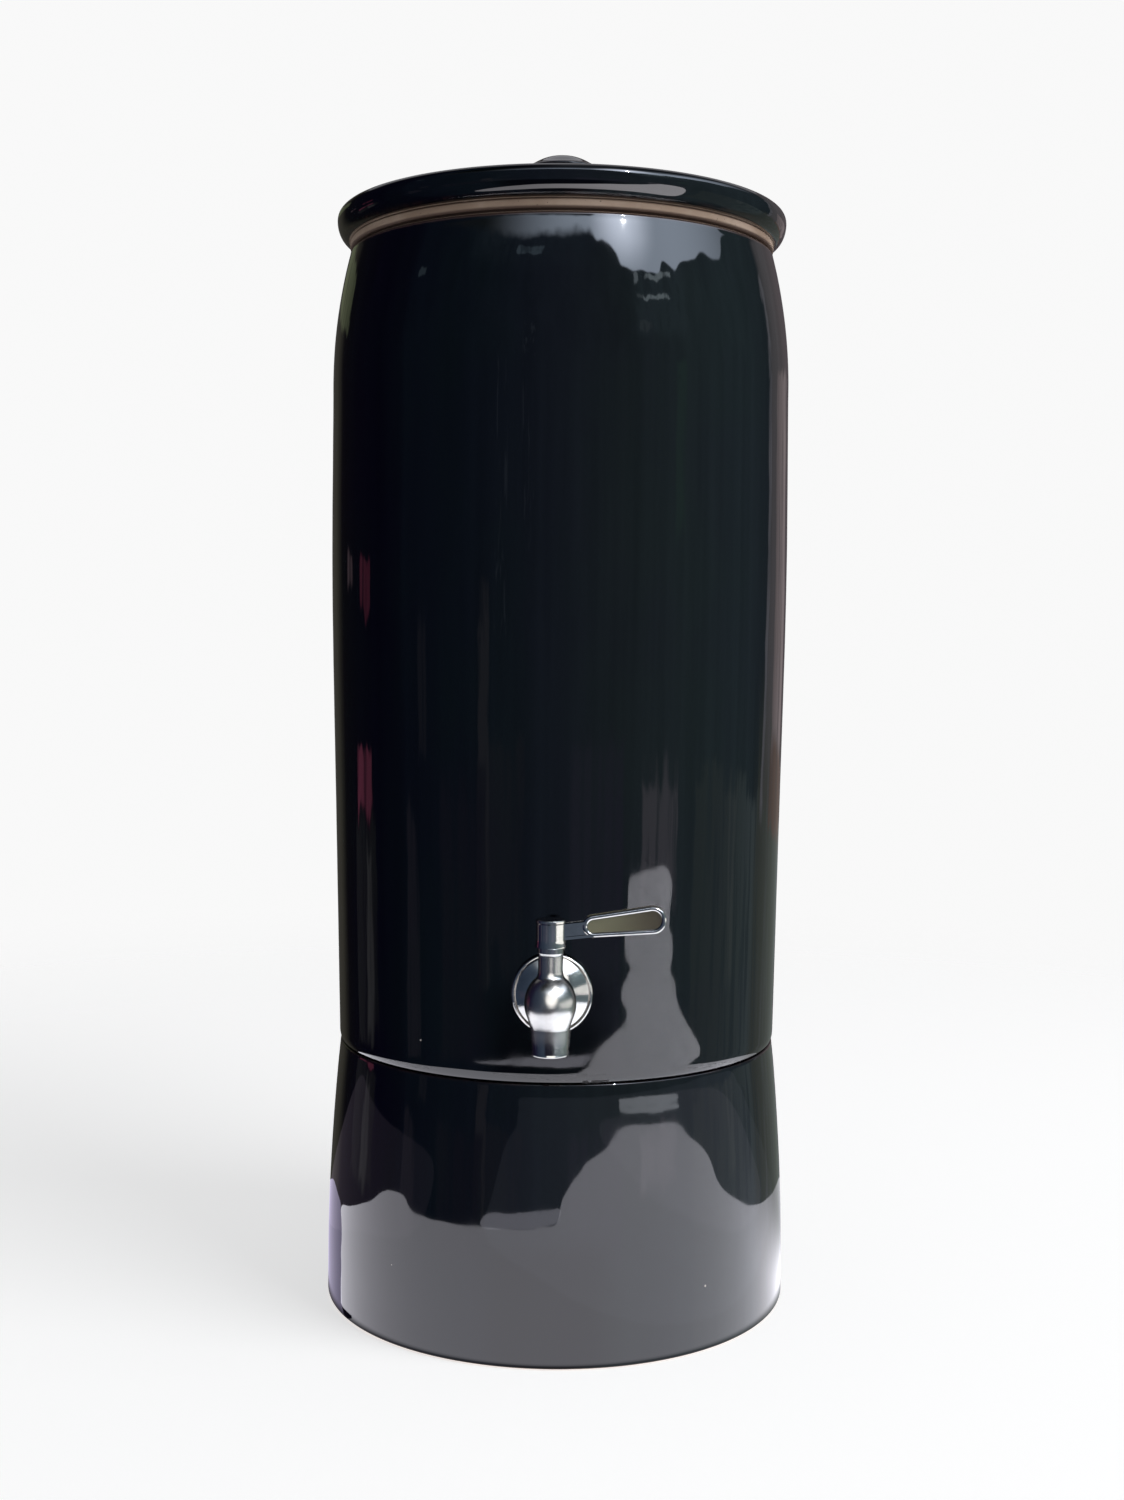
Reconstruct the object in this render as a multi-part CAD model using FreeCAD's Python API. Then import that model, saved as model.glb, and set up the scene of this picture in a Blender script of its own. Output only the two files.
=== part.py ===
import FreeCAD, Part
import math
import os

# Clay water pot with a tap: a glazed stoneware vessel on its own stand, an unglazed clay filter pot
# hanging in the vessel's mouth, a glazed lid and a lever tap near the vessel's foot.
# Millimetres, +Z up. The origin is the centre of the stand's flat underside, and the tap faces -Y.

# ---------------------------------------------------------------- driving dimensions

pot_r = 96.6                # widest outer radius of the vessel; the other pottery follows from it

# Stand
stand_height = 106.0        # from the floor to the rim that the vessel stands on
stand_belly_in = 0.6        # how much less than the vessel's its widest outer radius is
stand_belly_z = 20.0        # height where the stand is widest
stand_rim_in = 5.0          # how far its outer wall just under the rim stays inside the vessel's belly
stand_wall = 8.6
stand_floor = 9.0
stand_foot_round = 7.0      # rounding between wall and underside
stand_rim_round = 2.0
stand_side = ((0.0, 0.377), (0.323, 0.152))         # handles of the wall's curve, upwards

# Vessel, with its heights counted from the stand's rim
vessel_height = 330.6       # up to the lip
belly_low = 224.0           # the wall is straight between these two heights
belly_high = 269.0
vessel_neck_in = 6.7        # how far the outer wall draws in from the belly to the lip
vessel_wall = 8.4
vessel_floor = 12.0
foot_step = 0.2             # the vessel's foot stands this far out past the stand's rim
vessel_foot_round = 4.5
vessel_inside_round = 9.0
lip_round = 1.4
spigot_depth = 6.0          # how far the vessel's foot reaches into the stand's mouth
spigot_play = 2.5           # radial room round it
vessel_swell = ((0.6625, 0.61), (0.0, 0.245))       # handles of the curve from foot to belly
vessel_shoulder = ((0.0, 0.13), (1.133, 0.513))     # handles of the curve from belly to neck

# Filter pot
filter_flange = 5.0         # height of the flange that shows between vessel and lid
filter_flange_round = 1.2
filter_gap = 1.1            # height of the undercut that keeps the flange's edge off the vessel's lip
filter_gap_in = 2.6         # how deep it goes in
filter_play = 3.0           # radial room in the vessel's mouth
filter_wall = 11.0
filter_floor = 12.0
filter_depth = 187.0        # from the flange's underside to the bottom
filter_taper = 8.0          # loss of radius on the way down
filter_bottom_round = 14.0
filter_inside_round = 8.5

# Lid
lid_overhang = 5.4          # how far the rolled rim stands out past the vessel's neck
lid_roll = 4.1              # from the widest point of the rolled rim in to its top
lid_rim_low = 8.1           # heights of the rolled rim below and above its widest point
lid_rim_high = 4.1
lid_thickness = 9.0
lid_ring_depth = 8.0        # locating ring inside the filter pot's mouth
lid_ring_wall = 7.5
lid_ring_play = 2.0
dome_height = 8.2           # rise of the dome above the rolled rim
knob_base_r = 24.0          # where the knob's foot starts to rise from the dome
knob_neck_r = 11.5
knob_r = 17.5
knob_edge = 1.5             # how far the knob's rolled edge turns back in
knob_nub_r = 3.5            # flat nub in the middle of the knob
knob_foot_h = 4.5           # heights, one on top of the other, from the dome up
knob_neck_h = 3.0
knob_flare_h = 3.75
knob_edge_h = 1.85
knob_top_h = 4.9

# Tap: its hole
tap_rise = 34.9             # height of the hole above the stand's rim
spot_depth = 0.8            # flat spot face behind the radius of the vessel's foot
spot_margin = 0.4           # spot face past the flange's edge
pad_proud = 0.6             # inner pad past the thickness of the wall
pad_margin = 2.5            # inner pad past the inner washer
hole_play = 0.6             # radial room of the shank in the wall
fit = 0.06                  # radial room of a close fit

# Tap: shank, washers and nut
shank_r = 6.0
shank_spare = 3.8           # length of the shank past its nut
outer_washer_r = 13.5
outer_washer_t = 2.0
inner_washer_r = 12.5
inner_washer_t = 2.0
flat_washer_r = 11.5
flat_washer_t = 1.2
nut_across_flats = 19.0
nut_t = 5.0
nut_chamfer = 0.8
nut_chamfer_angle = 30.0

# Tap: body, with its heights counted from the axis of the hole
tap_reach = 33.0            # from the spot face to the spout's upright axis
flange_r = 15.3
flange_t = 1.8              # at its rounded edge
flange_edge = 0.75
flange_groove = 0.25        # depth of the fine groove inside the edge
flange_groove_in = 1.6      # from the edge in to the groove
flange_rise = 2.9           # of the dome from the edge up to the arm
arm_r = 5.6
arm_round = 1.6             # rounding between arm and flange
arm_root_round = 0.8        # rounding between arm and bulb
inlet_r = 3.2
spout_drop = 16.05          # down to the spout's end
spout_lip_r = 6.95
spout_lip_h = 1.1
spout_mouth_r = 6.75        # just above the lip
waist_r = 7.3               # where the spout starts to swell
waist_drop = 6.4
bulb_r = 9.4
bulb_rise = 2.3
shoulder_r = 5.4
shoulder_rise = 11.5
neck_r = 4.5
neck_root_h = 2.6           # heights, one on top of the other, from the shoulder up
neck_h = 5.5
neck_flare_h = 1.2
neck_top_r = 4.8

# Tap: valve
bore_r = 5.2                # the core turns in this bore
bore_roof = 2.4             # from the bore's top up to the shoulder
core_skirt = 1.7            # core below its port
core_wall = 1.7
core_roof = 3.4
port_r = 2.8
stem_r = 2.2
ring_section_r = 0.64       # round section of the O-ring
ring_pocket_rise = 3.9      # from the bore's top up to the O-ring's pocket
ring_room = 0.4             # from the O-ring up to the gland
seal_t = 1.6
seal_wall = 1.2
seal_gap = 0.3              # between the seal's hollow face and the core
gland_t = 2.0               # height of the gland's collar
gland_edge = 0.35
drive_side = 3.0            # square end of the stem
screw_r = 0.85
screw_depth = 6.0

# Lever, with its heights counted from the hub's underside
hub_r = 5.35
hub_skirt_r = 5.7
hub_skirt_h = 2.6
hub_height = 8.8
cap_r = 5.5
cap_t = 1.1
cap_edge = 0.4
cap_recess = 0.5
arm_low = 2.8
arm_high = 8.5
arm_thick = 4.6
arm_web = 2.2
arm_lip = 1.0
paddle_tilt = 6.5           # degrees that the paddle points upwards
paddle_root_x = 15.4        # centre of the paddle's root, from the hub's axis
paddle_root_h = 7.6
paddle_length = 21.2        # between the centres of its two round ends
paddle_root_r = 4.0
paddle_tip_r = 5.0
paddle_thick = 3.8
paddle_rim = 1.7
paddle_web = 1.4
paddle_edge = 0.8

# ---------------------------------------------------------------- sizes that follow from them

UP = FreeCAD.Vector(0, 0, 1)
RIGHT = FreeCAD.Vector(1, 0, 0)
BACK = FreeCAD.Vector(0, 1, 0)
CENTRE = FreeCAD.Vector(0, 0, 0)
DIAGONAL = math.sqrt(0.5)

stand_belly_r = pot_r - stand_belly_in
stand_rim_r = pot_r - stand_rim_in
stand_mouth_r = stand_rim_r - stand_wall
spigot_r = stand_mouth_r - spigot_play
vessel_foot_r = stand_rim_r + foot_step
vessel_neck_r = pot_r - vessel_neck_in
vessel_bottom_z = stand_height - spigot_depth
reservoir_z = vessel_bottom_z + vessel_floor
vessel_lip_z = stand_height + vessel_height
filter_r = vessel_neck_r - vessel_wall - filter_play
filter_mouth_r = filter_r - filter_wall
lid_seat_z = vessel_lip_z + filter_flange

tap_z = stand_height + tap_rise
tap_face = vessel_foot_r - spot_depth
pad_face = tap_face - vessel_wall - pad_proud
nut_far = pad_face - inner_washer_t - flat_washer_t
nut_near = nut_far - nut_t
shank_end = nut_near - shank_spare
spout_out = tap_face + tap_reach

shoulder_z = tap_z + shoulder_rise
neck_low_z = shoulder_z + neck_root_h
neck_high_z = neck_low_z + neck_h
neck_top_z = neck_high_z + neck_flare_h
spout_low_z = tap_z - spout_drop
bore_top_z = shoulder_z - bore_roof
ring_pocket_z = bore_top_z + ring_pocket_rise
ring_pocket_r = stem_r + 2 * (fit + ring_section_r)
hub_low_z = neck_top_z + gland_t
hub_top_z = hub_low_z + hub_height
square_top_z = hub_top_z - cap_recess


# ---------------------------------------------------------------- drawing aids

# A move draws one edge from the point reached so far, and says which point it has reached.

def flat(point):
    """Point of the XZ plane."""
    return FreeCAD.Vector(point[0], 0, point[1])


def line(x, z):
    return lambda here: (Part.LineSegment(flat(here), flat((x, z))).toShape(), (x, z))


def arc(middle, end):
    return lambda here: (Part.Arc(flat(here), flat(middle), flat(end)).toShape(), end)


def rounded(x, z, sideways_first):
    """Quarter round to a point, which leaves either sideways or upright."""
    def draw(here):
        run, rise = x - here[0], z - here[1]
        along, up = (DIAGONAL, 1 - DIAGONAL) if sideways_first else (1 - DIAGONAL, DIAGONAL)
        return arc((here[0] + along * run, here[1] + up * rise), (x, z))(here)
    return draw


def bend(x, z, leave, arrive):
    """Curve to a point; the handle at each end is a share of the run and a share of the rise."""
    def draw(here):
        run, rise = x - here[0], z - here[1]
        first = (here[0] + leave[0] * run, here[1] + leave[1] * rise)
        last = (x - arrive[0] * run, z - arrive[1] * rise)
        curve = Part.BezierCurve()
        curve.setPoles([flat(here), flat(first), flat(last), flat((x, z))])
        return curve.toShape(), (x, z)
    return draw


def outline_face(start, *moves):
    """Closed flat face in the XZ plane."""
    here = start
    edges = []
    for move in (*moves, line(*start)):
        edge, here = move(here)
        edges.append(edge)
    return Part.Face(Part.Wire(edges))


def turned(start, *moves):
    """Solid turned about the upright axis from an outline of radii and heights."""
    return outline_face(start, *moves).revolve(CENTRE, UP, 360)


def rod(radius, low, high):
    """Upright round bar between two heights."""
    return Part.makeCylinder(radius, high - low, FreeCAD.Vector(0, 0, low))


def slab(face, low_y, high_y):
    """Face of the XZ plane, thickened between two places along Y."""
    base = face.copy()
    base.translate(BACK * low_y)
    return base.extrude(BACK * (high_y - low_y))


def sides(inner, outer):
    """The two spans along Y between a half thickness and a larger one, in front and behind."""
    return (-outer, -inner), (inner, outer)


def outwards(shape):
    """Lays an upright shape along the tap's hole: its height becomes the distance from the pot's axis."""
    laid = shape.copy()
    laid.rotate(CENTRE, RIGHT, 90)
    laid.translate(UP * tap_z)
    return laid


def at_spout(shape):
    """Moves a shape drawn round the upright axis to the spout's axis."""
    moved = shape.copy()
    moved.translate(BACK * -spout_out)
    return moved


def edges_where(shape, test):
    """Edges whose middle point passes the test."""
    return [edge for edge in shape.Edges if test(edge.CenterOfMass)]


# ---------------------------------------------------------------- pottery

def base_stand():
    inner_r = stand_belly_r - stand_wall
    rim_low_z = stand_height - stand_rim_round
    return turned(
        (0, 0),
        line(stand_belly_r - stand_foot_round, 0),
        rounded(stand_belly_r, stand_foot_round, True),
        line(stand_belly_r, stand_belly_z),
        bend(stand_rim_r, rim_low_z, *stand_side),
        rounded(stand_rim_r - stand_rim_round, stand_height, False),
        line(stand_mouth_r + stand_rim_round, stand_height),
        rounded(stand_mouth_r, rim_low_z, True),
        bend(inner_r, stand_belly_z, *reversed(stand_side)),
        line(inner_r, stand_floor + stand_foot_round),
        rounded(inner_r - stand_foot_round, stand_floor, False),
        line(0, stand_floor),
    )


def vessel():
    belly_low_z, belly_high_z = stand_height + belly_low, stand_height + belly_high
    inner_foot_r = vessel_foot_r - vessel_wall
    inner_neck_r = vessel_neck_r - vessel_wall
    lip_low_z = vessel_lip_z - lip_round
    pot = turned(
        (0, vessel_bottom_z),
        line(spigot_r - stand_rim_round, vessel_bottom_z),
        rounded(spigot_r, vessel_bottom_z + stand_rim_round, True),
        line(spigot_r, stand_height),
        line(vessel_foot_r - vessel_foot_round, stand_height),
        rounded(vessel_foot_r, stand_height + vessel_foot_round, True),
        bend(pot_r, belly_low_z, *vessel_swell),
        line(pot_r, belly_high_z),
        bend(vessel_neck_r, lip_low_z, *vessel_shoulder),
        rounded(vessel_neck_r - lip_round, vessel_lip_z, False),
        line(inner_neck_r + lip_round, vessel_lip_z),
        rounded(inner_neck_r, lip_low_z, True),
        bend(pot_r - vessel_wall, belly_high_z, *reversed(vessel_shoulder)),
        line(pot_r - vessel_wall, belly_low_z),
        bend(inner_foot_r, reservoir_z + vessel_inside_round, *reversed(vessel_swell)),
        rounded(inner_foot_r - vessel_inside_round, reservoir_z, False),
        line(0, reservoir_z),
    )
    outside = pot_r + outer_washer_t
    pad = outwards(rod(inner_washer_r + pad_margin, pad_face, vessel_foot_r - vessel_wall / 2))
    spot = outwards(rod(flange_r + spot_margin, tap_face, outside))
    hole = outwards(rod(shank_r + hole_play, shank_end, outside))
    return pot.fuse(pad).cut(spot).cut(hole)


def filter_pot():
    low_z = vessel_lip_z - filter_depth
    bottom_r = filter_r - filter_taper
    inner_low_z = low_z + filter_floor
    inner_bottom_r = bottom_r - filter_wall
    edge_low_z = vessel_lip_z + filter_gap
    return turned(
        (0, low_z),
        line(bottom_r - filter_bottom_round, low_z),
        rounded(bottom_r, low_z + filter_bottom_round, True),
        line(filter_r, vessel_lip_z),
        line(vessel_neck_r - filter_gap_in, vessel_lip_z),
        line(vessel_neck_r - filter_gap_in, edge_low_z),
        line(vessel_neck_r - filter_flange_round, edge_low_z),
        rounded(vessel_neck_r, edge_low_z + filter_flange_round, True),
        line(vessel_neck_r, lid_seat_z - filter_flange_round),
        rounded(vessel_neck_r - filter_flange_round, lid_seat_z, False),
        line(filter_mouth_r + lip_round, lid_seat_z),
        rounded(filter_mouth_r, lid_seat_z - lip_round, True),
        line(inner_bottom_r, inner_low_z + filter_inside_round),
        rounded(inner_bottom_r - filter_inside_round, inner_low_z, False),
        line(0, inner_low_z),
    )


def lid():
    rim_r = vessel_neck_r + lid_overhang
    widest_z = lid_seat_z + lid_rim_low
    rim_top_z = widest_z + lid_rim_high
    dome_z = rim_top_z + dome_height
    ceiling_z = dome_z - lid_thickness
    ring_r = filter_mouth_r - lid_ring_play
    ring_inner_r = ring_r - lid_ring_wall
    ring_low_z = lid_seat_z - lid_ring_depth
    foot_z = dome_z + knob_foot_h
    neck_z = foot_z + knob_neck_h
    flare_z = neck_z + knob_flare_h
    edge_z = flare_z + knob_edge_h
    top_z = edge_z + knob_top_h
    return turned(
        (0, ceiling_z),
        line(knob_neck_r, ceiling_z),
        bend(ring_inner_r, lid_seat_z + lip_round, (0.45, 0.0), (0.0, 0.4)),
        line(ring_inner_r, ring_low_z),
        line(ring_r, ring_low_z),
        line(ring_r, lid_seat_z),
        line(vessel_neck_r, lid_seat_z),
        bend(rim_r, widest_z, (0.6, 0.04), (0.0, 0.51)),
        bend(rim_r - lid_roll, rim_top_z, (0.0, 0.65), (0.59, 0.04)),
        bend(knob_base_r, dome_z, (0.3, 0.02), (0.35, 0.04)),
        bend(knob_neck_r, foot_z, (0.75, 0.05), (0.0, 0.6)),
        line(knob_neck_r, neck_z),
        bend(knob_r, flare_z, (0.0, 0.6), (0.4, 0.3)),
        bend(knob_r - knob_edge, edge_z, (-0.5, 0.4), (0.9, 0.2)),
        bend(knob_nub_r, top_z, (0.25, 0.25), (0.45, 0.0)),
        line(0, top_z),
    )


# ---------------------------------------------------------------- tap

def tap_shank():
    """Shank, flange and arm, drawn upright with the flange's front on top."""
    back = tap_face + outer_washer_t
    front = back + flange_t
    groove_r = flange_r - flange_groove_in
    dome = front + flange_rise
    return turned(
        (0, shank_end),
        line(shank_r, shank_end),
        line(shank_r, back),
        line(flange_r - flange_edge, back),
        rounded(flange_r, back + flange_edge, True),
        line(flange_r, front - flange_edge),
        rounded(flange_r - flange_edge, front, False),
        bend(groove_r, front - flange_groove, (0.6, 0.0), (0.3, 0.3)),
        bend(arm_r + arm_round, dome, (0.35, 0.42), (0.35, 0.26)),
        rounded(arm_r, dome + arm_round, True),
        line(arm_r, spout_out - bore_r),
        line(0, spout_out - bore_r),
    )


def tap_barrel():
    """Spout, bulb and neck, drawn round the upright axis."""
    lip_half = spout_lip_h / 2
    return turned(
        (0, spout_low_z),
        line(spout_lip_r - lip_half, spout_low_z),
        rounded(spout_lip_r, spout_low_z + lip_half, True),
        bend(spout_mouth_r, spout_low_z + spout_lip_h, (0.0, 0.4), (0.2, 0.4)),
        bend(waist_r, tap_z - waist_drop, (0.3, 0.33), (0.25, 0.35)),
        bend(bulb_r, tap_z + bulb_rise, (0.21, 0.4), (0.0, 0.41)),
        bend(shoulder_r, shoulder_z, (0.0, 0.46), (0.55, 0.2)),
        bend(neck_r, neck_low_z, (0.6, 0.2), (0.0, 0.45)),
        line(neck_r, neck_high_z),
        bend(neck_top_r, neck_top_z, (0.0, 0.4), (0.6, 0.4)),
        line(0, neck_top_z),
    )


def on_arm_root(point):
    """Whether a point lies where the arm runs into the bulb."""
    distance = -point.y
    near_bulb = spout_out - bulb_r - arm_round < distance < spout_out
    return near_bulb and abs(point.z - tap_z) < bulb_r


def tap_body():
    solid = outwards(tap_shank()).fuse(at_spout(tap_barrel()))
    solid = solid.makeFillet(arm_root_round, edges_where(solid, on_arm_root))
    hollows = (
        outwards(rod(inlet_r, shank_end, spout_out)),
        outwards(rod(inlet_r + seal_wall, spout_out - bore_r - seal_t, spout_out)),
        at_spout(rod(bore_r, spout_low_z, bore_top_z)),
        at_spout(rod(stem_r + fit, bore_top_z, neck_top_z)),
        at_spout(rod(ring_pocket_r, ring_pocket_z, neck_top_z)),
    )
    for hollow in hollows:
        solid = solid.cut(hollow)
    return solid


def washer(outer_r, near, far):
    """Flat ring on the shank between two distances from the pot's axis."""
    return outwards(rod(outer_r, near, far).cut(rod(shank_r + fit, near, far)))


def outer_washer():
    return washer(outer_washer_r, tap_face, tap_face + outer_washer_t)


def inner_washer():
    return washer(inner_washer_r, pad_face - inner_washer_t, pad_face)


def flat_washer():
    return washer(flat_washer_r, nut_far, nut_far + flat_washer_t)


def lock_nut():
    corner_r = nut_across_flats / math.sqrt(3)
    corners = []
    for side in range(7):
        turn = math.radians(60 * side)
        corners.append(FreeCAD.Vector(corner_r * math.cos(turn), corner_r * math.sin(turn), nut_near))
    prism = Part.Face(Part.makePolygon(corners)).extrude(UP * nut_t)
    cone_r = corner_r - nut_chamfer / math.tan(math.radians(nut_chamfer_angle))
    trim = turned(
        (0, nut_near),
        line(cone_r, nut_near),
        line(corner_r, nut_near + nut_chamfer),
        line(corner_r, nut_far - nut_chamfer),
        line(cone_r, nut_far),
        line(0, nut_far),
    )
    return outwards(prism.common(trim).cut(rod(shank_r + fit, nut_near, nut_far)))


def port_seal():
    """Soft ring round the inlet; its front is hollowed to the core's curve."""
    low = spout_out - bore_r - seal_t
    outer = outwards(rod(inlet_r + seal_wall - fit, low, spout_out))
    core_room = at_spout(rod(bore_r - fit + seal_gap, spout_low_z, bore_top_z))
    return outer.cut(outwards(rod(inlet_r, low, spout_out))).cut(core_room)


def valve_core():
    """Hollow plug and stem in one piece; its side port turns to the inlet when the tap is open."""
    core_r = bore_r - fit
    core_low_z = tap_z - port_r - core_skirt
    corner = FreeCAD.Vector(-drive_side / 2, -drive_side / 2, hub_low_z)
    square = Part.makeBox(drive_side, drive_side, square_top_z - hub_low_z, corner)
    core = rod(core_r, core_low_z, bore_top_z).fuse(rod(stem_r, bore_top_z, hub_low_z)).fuse(square)
    core = core.cut(rod(core_r - core_wall, core_low_z, bore_top_z - core_roof))
    core = core.cut(Part.makeCylinder(port_r, bore_r, UP * tap_z, RIGHT * -1))
    return at_spout(core.cut(rod(screw_r, square_top_z - screw_depth, square_top_z)))


def stem_o_ring():
    middle = UP * (ring_pocket_z + ring_section_r)
    return at_spout(Part.makeTorus(stem_r + fit + ring_section_r, ring_section_r, middle))


def gland_nut():
    low_z = ring_pocket_z + 2 * ring_section_r + ring_room
    return at_spout(turned(
        (stem_r + fit, low_z),
        line(ring_pocket_r - fit, low_z),
        line(ring_pocket_r - fit, neck_top_z),
        line(neck_top_r, neck_top_z),
        line(neck_top_r, hub_low_z - gland_edge),
        rounded(neck_top_r - gland_edge, hub_low_z, False),
        line(stem_r + fit, hub_low_z),
    ))


# ---------------------------------------------------------------- lever

def paddle_face(inset):
    """Long rounded outline of the paddle, level, with its root's centre at the origin."""
    root_r, tip_r = paddle_root_r - inset, paddle_tip_r - inset
    slope = math.asin((tip_r - root_r) / paddle_length)
    root_x, root_z = -root_r * math.sin(slope), root_r * math.cos(slope)
    tip_x, tip_z = paddle_length - tip_r * math.sin(slope), tip_r * math.cos(slope)
    return outline_face(
        (root_x, root_z),
        arc((-root_r, 0), (root_x, -root_z)),
        line(tip_x, -tip_z),
        arc((paddle_length + tip_r, 0), (tip_x, tip_z)),
    )


def in_place(shape):
    """Tilts a shape drawn with the level paddle and moves it to the end of the arm."""
    shape.rotate(CENTRE, BACK, -paddle_tilt)
    shape.translate(RIGHT * paddle_root_x + UP * (hub_low_z + paddle_root_h))
    return shape


def paddle():
    """Paddle with a raised, rounded rim and a sunk panel on both sides."""
    half = paddle_thick / 2
    body = slab(paddle_face(0), -half, half)
    for low_y, high_y in sides(paddle_web / 2, half):
        body = body.cut(slab(paddle_face(paddle_rim), low_y, high_y))
    rims = edges_where(body, lambda point: abs(abs(point.y) - half) < fit)
    return in_place(body.makeFillet(paddle_edge, rims))


def lever_arm():
    """Short arm from the hub to the paddle's root, with a hollowed side between two lips."""
    low_z, high_z = hub_low_z + arm_low, hub_low_z + arm_high
    lift = (paddle_root_x - hub_r) * math.tan(math.radians(paddle_tilt))
    half = arm_thick / 2
    arm = slab(outline_face(
        (0, low_z),
        line(hub_r, low_z),
        line(paddle_root_x, low_z + lift),
        line(paddle_root_x, high_z + lift),
        line(hub_r, high_z),
        line(0, high_z),
    ), -half, half)
    hollow = outline_face(
        (hub_r, low_z + arm_lip),
        line(paddle_root_x, low_z + arm_lip + lift),
        line(paddle_root_x, high_z - arm_lip + lift),
        line(hub_r, high_z - arm_lip),
    )
    for low_y, high_y in sides(arm_web / 2, half):
        arm = arm.cut(slab(hollow, low_y, high_y))
    return arm.cut(in_place(slab(paddle_face(paddle_rim / 2), -arm_thick, arm_thick)))


def lever_handle():
    hub = turned(
        (0, hub_low_z),
        line(hub_skirt_r, hub_low_z),
        bend(hub_r, hub_low_z + hub_skirt_h, (0.2, 0.35), (0.0, 0.5)),
        line(hub_r, hub_top_z - cap_edge),
        line(hub_r - cap_edge, hub_top_z),
        line(0, hub_top_z),
    )
    side = drive_side + 2 * fit
    square = Part.makeBox(side, side, hub_height, FreeCAD.Vector(-side / 2, -side / 2, hub_low_z))
    lever = hub.fuse(lever_arm()).fuse(paddle()).cut(square)
    return at_spout(lever.removeSplitter())


def cap_screw():
    """Thin round cap on the hub; its screw draws the lever and the core together."""
    top_z = hub_top_z + cap_t
    head = turned(
        (0, hub_top_z),
        line(cap_r, hub_top_z),
        line(cap_r, top_z - cap_edge),
        rounded(cap_r - cap_edge, top_z, False),
        line(0, top_z),
    )
    boss = rod(drive_side / 2, square_top_z, hub_top_z)
    thread = rod(screw_r - fit, square_top_z - screw_depth + fit, square_top_z)
    return at_spout(head.fuse(boss).fuse(thread))


# ---------------------------------------------------------------- one file for each piece

PIECES = (base_stand, vessel, filter_pot, lid,
          tap_body, outer_washer, inner_washer, flat_washer, lock_nut,
          port_seal, valve_core, stem_o_ring, gland_nut,
          lever_handle, cap_screw)


def main():
    os.makedirs("parts", exist_ok=True)
    for make in PIECES:
        name, shape = make.__name__, make()
        if not shape.isValid() or len(shape.Solids) != 1:
            raise ValueError(f"{name}: valid {shape.isValid()}, solids {len(shape.Solids)}")
        shape.Solids[0].exportStep(os.path.join("parts", name + ".step"))
        print(f"{name:14s} {shape.Volume / 1000:9.2f} cm3")


main()
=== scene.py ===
import math

import bpy
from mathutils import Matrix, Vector, noise


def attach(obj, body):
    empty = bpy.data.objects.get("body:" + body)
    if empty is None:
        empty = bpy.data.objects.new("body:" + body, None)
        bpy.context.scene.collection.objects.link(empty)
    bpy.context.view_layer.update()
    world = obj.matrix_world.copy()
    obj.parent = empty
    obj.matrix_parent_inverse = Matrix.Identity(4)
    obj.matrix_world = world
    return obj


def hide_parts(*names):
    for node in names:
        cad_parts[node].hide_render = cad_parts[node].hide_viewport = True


# Looks of the clay water pot: thrown and glazed pottery, a raw clay filter pot and a small polished tap.
# Outlines are written in millimetres, as the potter's drawing gives them, and made in metres.

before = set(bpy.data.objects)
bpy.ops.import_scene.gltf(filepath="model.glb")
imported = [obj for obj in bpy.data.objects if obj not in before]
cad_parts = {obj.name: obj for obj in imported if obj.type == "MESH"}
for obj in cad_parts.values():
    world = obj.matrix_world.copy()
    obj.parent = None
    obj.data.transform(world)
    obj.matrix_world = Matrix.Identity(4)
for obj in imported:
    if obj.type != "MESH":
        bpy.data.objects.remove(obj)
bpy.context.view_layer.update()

MM = 0.001                  # metres in a millimetre

# ---------------------------------------------------------------- sizes shared with the potter's drawing

SPOUT_OUT = 124.0           # from the pot's axis to the spout's upright axis
TAP_HEIGHT = 140.9          # axis of the tap's hole
SPOT_FACE = 91.0            # flat seat of the tap on the outside, from the pot's axis
SPOT_R = 15.7
PAD_FACE = 82.0             # flat seat of the nut on the inside
PAD_R = 15.0
PAD_BLEND = 3.0             # width over which the pad runs out into the round wall
HOLE_R = 6.6
DRILL_REACH = 20.0          # how far the drills start outside the wall
HOLE_REACH = 30.0           # how far the hole's drill goes in from the tap's seat
SHARP_EDGE = math.radians(40)
NEAR_TAP = 18.0             # degrees to each side of the front within which the pottery's mesh is finer
FINE_TURN = 0.5
COARSE_TURN = 1.25


# ---------------------------------------------------------------- shader kit

class Wire:
    """One socket of a node tree; sums and products of wires add the Math nodes that work them out."""

    def __init__(self, tree, socket):
        self.tree = tree
        self.socket = socket

    def math(self, operation, *others):
        return self.tree.node("ShaderNodeMath", {"operation": operation}, dict(enumerate((self, *others))))

    def __add__(self, other):
        return self.math("ADD", other)

    def __sub__(self, other):
        return self.math("SUBTRACT", other)

    def __rsub__(self, other):
        return self * -1 + other

    def __mul__(self, other):
        return self.math("MULTIPLY", other)

    def __truediv__(self, other):
        return self.math("DIVIDE", other)

    def __pow__(self, other):
        return self.math("POWER", other)

    def __abs__(self):
        return self.math("ABSOLUTE")

    __radd__ = __add__
    __rmul__ = __mul__

    def most(self, other):
        return self.math("MAXIMUM", other)

    def rise(self, low, high):
        """0 below low, 1 above high, smooth between them; high below low turns it round."""
        settings = {"interpolation_type": "SMOOTHSTEP"}
        return self.tree.node("ShaderNodeMapRange", settings, {0: self, 1: low, 2: high, 3: 0.0, 4: 1.0})

    def within(self, low, high, soft):
        """1 between low and high, fading over a width of soft outside them."""
        return self.rise(low - soft, low) * self.rise(high + soft, high)


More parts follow.
